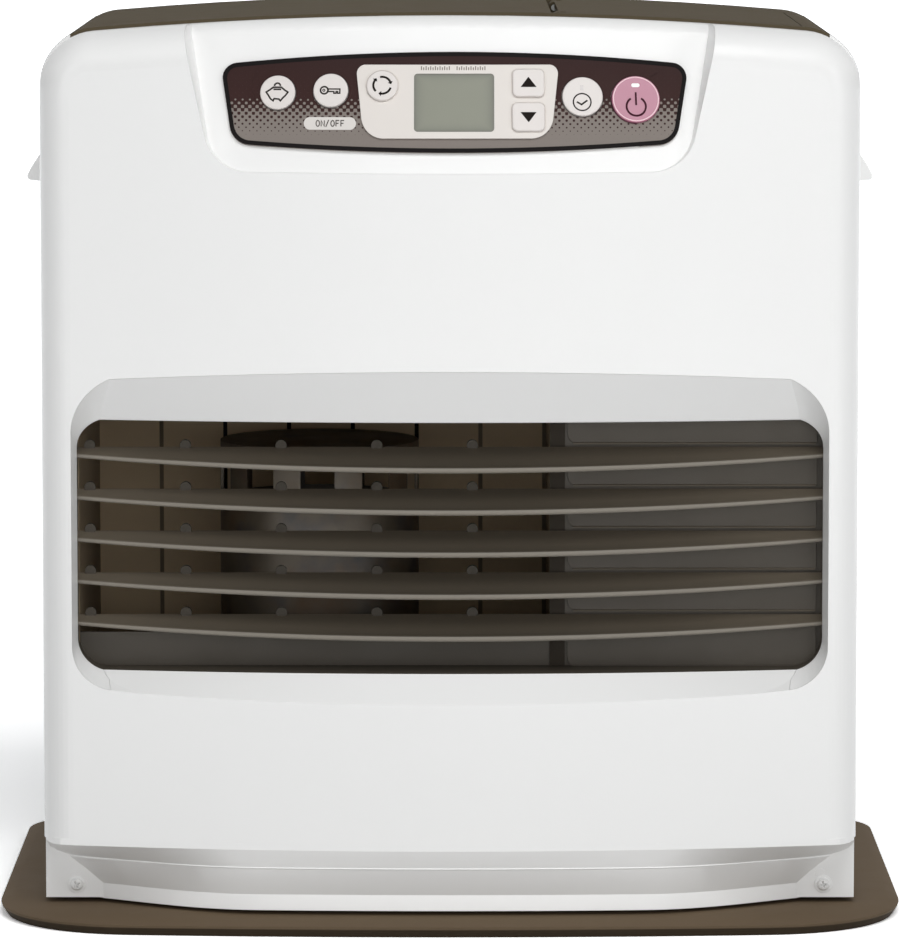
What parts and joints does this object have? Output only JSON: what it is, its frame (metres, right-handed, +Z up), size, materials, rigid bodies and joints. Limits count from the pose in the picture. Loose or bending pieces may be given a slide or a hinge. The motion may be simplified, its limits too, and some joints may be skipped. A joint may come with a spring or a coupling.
{
  "type": "paraffin heater",
  "caption": "Upright portable paraffin fan heater on a drip tray, with a bowed white front, a flared louvred outlet and a sloping control panel over it.",
  "frame": {"origin": "on the floor, under the middle of the drip tray", "axes": "+X to the right seen from the front, +Y to the rear, +Z up"},
  "size_m": [0.42, 0.2999, 0.42],
  "materials": {
    "white_moulding": "satin white moulding",
    "white_steel": "powder coated white",
    "brown_cover": "fine grained brown",
    "brown_steel": "satin brown",
    "tray_plastic": "fine grained brown",
    "grille_steel": "dark brown enamel",
    "insert_film": "printed dark brown film",
    "centre_plate": "satin pale grey",
    "display": "grey green display",
    "button_pale": "pale satin cap",
    "button_power": "rose translucent cap",
    "circuit_board": "green laminate",
    "plated_steel": "zinc plated",
    "burner_steel": "heat darkened steel",
    "brass_fittings": "drawn brass",
    "ceramic": "white ceramic",
    "tank_steel": "warm grey paint",
    "black_plastic": "black moulding",
    "gauge_face": "white gauge with clear top",
    "motor_steel": "pressed steel can",
    "filter_mesh": "fine mesh in a frame",
    "strainer": "fine strainer mesh",
    "rubber_feet": "soft black rubber"
  },
  "bodies": {
    "root": {"front_panel": "white_moulding", "left_grip": "white_moulding", "right_grip": "white_moulding", "left_side_panel": "white_steel", "right_side_panel": "white_steel", "top_cover": "brown_cover", "back_panel": "brown_steel", "fan_guard": "brown_steel", "base_tray": "tray_plastic", "louvre_grille": "grille_steel", "grille_backplate": "grille_steel", "decor_insert": "insert_film", "button_plate": "centre_plate", "display_window": "display", "control_board": "circuit_board", "power_board": "circuit_board", "base_pan": "plated_steel", "heat_shield": "plated_steel", "fan_shroud": "plated_steel", "motor_bracket": "plated_steel", "tank_well": "plated_steel", "warm_air_duct": "plated_steel", "lid_hinge_pins": "plated_steel", "front_screws": "plated_steel", "rear_screws": "plated_steel", "burner_pot": "burner_steel", "flame_ring": "burner_steel", "combustion_chamber": "burner_steel", "vaporiser": "brass_fittings", "fuel_pipe": "brass_fittings", "igniter": "ceramic", "flame_sensor": "ceramic", "fixed_tank": "tank_steel", "blower_housing": "black_plastic", "tilt_switch": "black_plastic", "air_pipe": "black_plastic", "cord_grommet": "black_plastic", "room_sensor": "black_plastic", "fan_motor": "motor_steel", "blower_motor": "motor_steel", "fuel_pump": "motor_steel", "fuel_filter": "strainer", "base_feet": "rubber_feet"},
    "tank_lid": {"tank_lid": "brown_cover"},
    "fuel_tank": {"fuel_tank": "tank_steel", "tank_cap": "black_plastic", "tank_handle": "black_plastic", "tank_gauge": "gauge_face"},
    "convection_fan": {"convection_fan": "black_plastic", "fan_shaft": "plated_steel"},
    "blower_wheel": {"blower_wheel": "black_plastic"},
    "rear_filter": {"rear_filter": "filter_mesh"},
    "save_button": {"save_button": "button_pale"},
    "lock_button": {"lock_button": "button_pale"},
    "recirculate_button": {"recirculate_button": "button_pale"},
    "up_button": {"up_button": "button_pale"},
    "down_button": {"down_button": "button_pale"},
    "timer_button": {"timer_button": "button_pale"},
    "power_button": {"power_button": "button_power"}
  },
  "joints": [
    {"name": "tank_lid_hinge", "type": "hinge", "parent": "root", "child": "tank_lid", "pos_m": [0.05, -0.012, 0.41654], "axis": [0, -1, 0], "range_deg": [0, 95]},
    {"name": "fuel_tank_lift", "type": "slide", "parent": "root", "child": "fuel_tank", "axis": [0, 0, 1], "range_m": [0, 0.012]},
    {"name": "convection_fan_spin", "type": "hinge", "parent": "root", "child": "convection_fan", "pos_m": [-0.062, 0.1015, 0.187], "axis": [0, 1, 0], "continuous": true},
    {"name": "blower_wheel_spin", "type": "hinge", "parent": "root", "child": "blower_wheel", "pos_m": [-0.146, -0.008, 0.062], "axis": [0, 1, 0], "continuous": true},
    {"name": "rear_filter_slide", "type": "slide", "parent": "root", "child": "rear_filter", "axis": [0, 1, 0], "range_m": [0, 0.03]},
    {"name": "save_button_press", "type": "slide", "parent": "root", "child": "save_button", "axis": [0.0837, 0.936, -0.342], "range_m": [0, 0.0008], "stiffness_N_per_m": 400, "springref_m": -0.0005},
    {"name": "lock_button_press", "type": "slide", "parent": "root", "child": "lock_button", "axis": [0.0579, 0.9379, -0.342], "range_m": [0, 0.0008], "stiffness_N_per_m": 400, "springref_m": -0.0005},
    {"name": "recirculate_button_press", "type": "slide", "parent": "root", "child": "recirculate_button", "axis": [0.0329, 0.9391, -0.342], "range_m": [0, 0.0008], "stiffness_N_per_m": 400, "springref_m": -0.0005},
    {"name": "up_button_press", "type": "slide", "parent": "root", "child": "up_button", "axis": [-0.0381, 0.9389, -0.342], "range_m": [0, 0.0008], "stiffness_N_per_m": 400, "springref_m": -0.0005},
    {"name": "down_button_press", "type": "slide", "parent": "root", "child": "down_button", "axis": [-0.0378, 0.9389, -0.342], "range_m": [0, 0.0008], "stiffness_N_per_m": 400, "springref_m": -0.0005},
    {"name": "timer_button_press", "type": "slide", "parent": "root", "child": "timer_button", "axis": [-0.0643, 0.9375, -0.342], "range_m": [0, 0.0008], "stiffness_N_per_m": 400, "springref_m": -0.0005},
    {"name": "power_button_press", "type": "slide", "parent": "root", "child": "power_button", "axis": [-0.0901, 0.9354, -0.342], "range_m": [0, 0.0008], "stiffness_N_per_m": 400, "springref_m": -0.0005}
  ]
}
